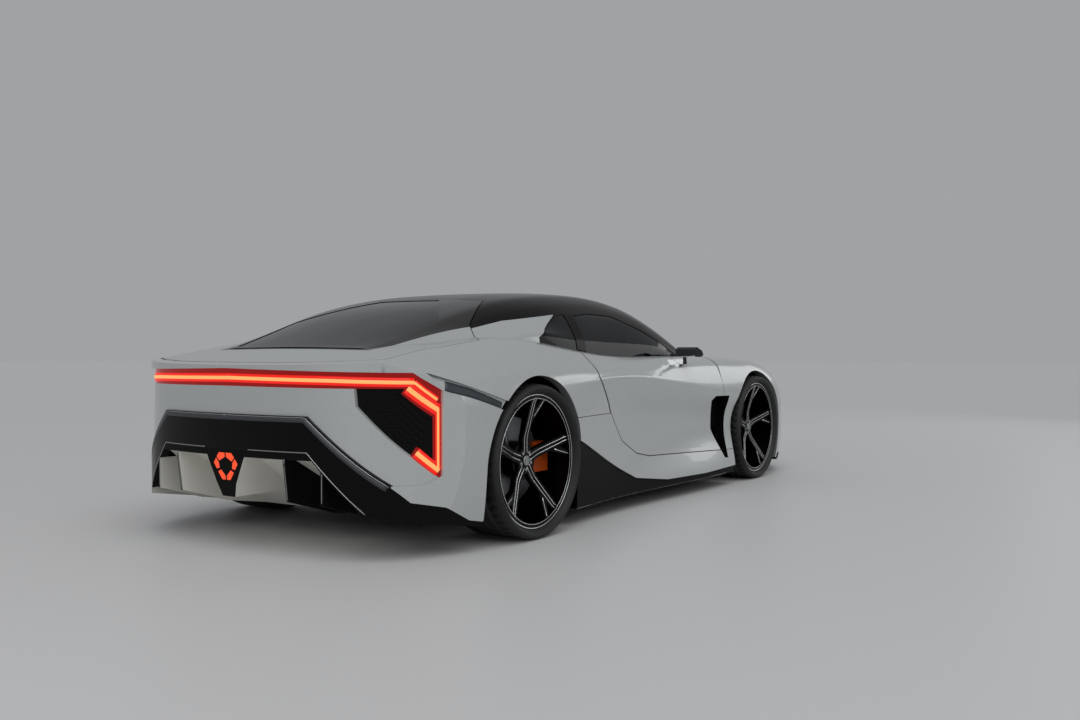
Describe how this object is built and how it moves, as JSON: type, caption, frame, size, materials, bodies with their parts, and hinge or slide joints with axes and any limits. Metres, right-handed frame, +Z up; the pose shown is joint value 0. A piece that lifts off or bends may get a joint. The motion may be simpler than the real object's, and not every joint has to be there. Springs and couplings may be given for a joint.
{
  "type": "sports car",
  "caption": "Low two-seat supercar coupe with long bonnet, opening doors and lids, steered front wheels and a full-width rear lamp.",
  "frame": {"origin": "on the floor under the middle of the car", "axes": "+X forward, +Y to the car's left, +Z up"},
  "size_m": [4.69, 2.02, 1.1975],
  "materials": {
    "body_paint": "pearl gloss",
    "black_paint": "gloss black",
    "trim": "gloss black",
    "under": "matt black",
    "grille": "matt black",
    "glazing": "dark tint",
    "lamp_red": "red lens",
    "lamp_clear": "clear lens",
    "seat_leather": "black grain",
    "cabin_trim": "soft matt",
    "engine": "plain",
    "tub": "plain",
    "tyre": "rubber",
    "rim": "dark with bright edges",
    "arms": "dark"
  },
  "bodies": {
    "body": {"fender_left": "body_paint", "fender_right": "body_paint", "rocker_panel_left": "body_paint", "rocker_panel_right": "body_paint", "quarter_panel_left": "body_paint", "quarter_panel_right": "body_paint", "front_bumper": "body_paint", "tail_panel": "body_paint", "deck_lip": "body_paint", "side_skirts": "under", "tail_mesh": "grille", "fog_lamp": "lamp_red", "roof": "black_paint", "cowl": "under", "rear_band": "trim", "windscreen": "glazing", "quarter_glass": "glazing", "front_grille": "grille", "headlamps": "lamp_clear", "front_splitter": "under", "tail_lamp": "lamp_red", "diffuser": "under", "floor_tub": "tub", "seat_left": "seat_leather", "seat_right": "seat_leather", "dashboard": "cabin_trim", "engine": "engine", "rear_suspension": "arms", "front_arms": "arms"},
    "bonnet": {"bonnet": "body_paint"},
    "door_left": {"door_left": "body_paint", "door_glass_left": "glazing", "mirror_left": "trim"},
    "door_right": {"door_right": "body_paint", "door_glass_right": "glazing", "mirror_right": "trim"},
    "tailgate": {"tailgate": "body_paint", "rear_glass": "glazing"},
    "steering_wheel": {"steering_wheel": "seat_leather"},
    "knuckle_left": {"front_knuckle_left": "arms"},
    "knuckle_right": {"front_knuckle_right": "arms"},
    "wheel_front_left": {"front_tyre_left": "tyre", "front_rim_left": "rim"},
    "wheel_front_right": {"front_tyre_right": "tyre", "front_rim_right": "rim"},
    "wheel_rear_left": {"rear_tyre_left": "tyre", "rear_rim_left": "rim"},
    "wheel_rear_right": {"rear_tyre_right": "tyre", "rear_rim_right": "rim"}
  },
  "joints": [
    {"name": "door_left_hinge", "type": "hinge", "parent": "body", "child": "door_left", "pos_m": [0.8518, 0.958, 0.5], "axis": [0, 0, -1], "range_deg": [0, 62]},
    {"name": "door_right_hinge", "type": "hinge", "parent": "body", "child": "door_right", "pos_m": [0.8518, -0.958, 0.5], "axis": [0, 0, 1], "range_deg": [0, 62]},
    {"name": "bonnet_hinge", "type": "hinge", "parent": "body", "child": "bonnet", "pos_m": [0.7902, 0, 0.862], "axis": [0, -1, 0], "range_deg": [0, 50]},
    {"name": "tailgate_hinge", "type": "hinge", "parent": "body", "child": "tailgate", "pos_m": [-1.1009, 0, 1.139], "axis": [0, 1, 0], "range_deg": [0, 60]},
    {"name": "steer_left", "type": "hinge", "parent": "body", "child": "knuckle_left", "pos_m": [1.387, 0.8275, 0.348], "axis": [0, 0, 1], "range_deg": [-30, 30]},
    {"name": "steer_right", "type": "hinge", "parent": "body", "child": "knuckle_right", "pos_m": [1.387, -0.8275, 0.348], "axis": [0, 0, 1], "range_deg": [-30, 30]},
    {"name": "steering_wheel_turn", "type": "hinge", "parent": "body", "child": "steering_wheel", "pos_m": [0.1199, 0.3737, 0.717], "axis": [-0.9272, 0, 0.3746], "range_deg": [-420, 420]},
    {"name": "front_left_spin", "type": "hinge", "parent": "knuckle_left", "child": "wheel_front_left", "pos_m": [1.387, 0.8275, 0.348], "axis": [0, 1, 0], "continuous": true},
    {"name": "front_right_spin", "type": "hinge", "parent": "knuckle_right", "child": "wheel_front_right", "pos_m": [1.387, -0.8275, 0.348], "axis": [0, 1, 0], "continuous": true},
    {"name": "rear_left_spin", "type": "hinge", "parent": "body", "child": "wheel_rear_left", "pos_m": [-1.338, 0.826, 0.36], "axis": [0, 1, 0], "continuous": true},
    {"name": "rear_right_spin", "type": "hinge", "parent": "body", "child": "wheel_rear_right", "pos_m": [-1.338, -0.826, 0.36], "axis": [0, 1, 0], "continuous": true}
  ],
  "couplings": [
    {"joint": "steer_right", "follows": "steer_left", "ratio": 1},
    {"joint": "steering_wheel_turn", "follows": "steer_left", "ratio": 14}
  ]
}
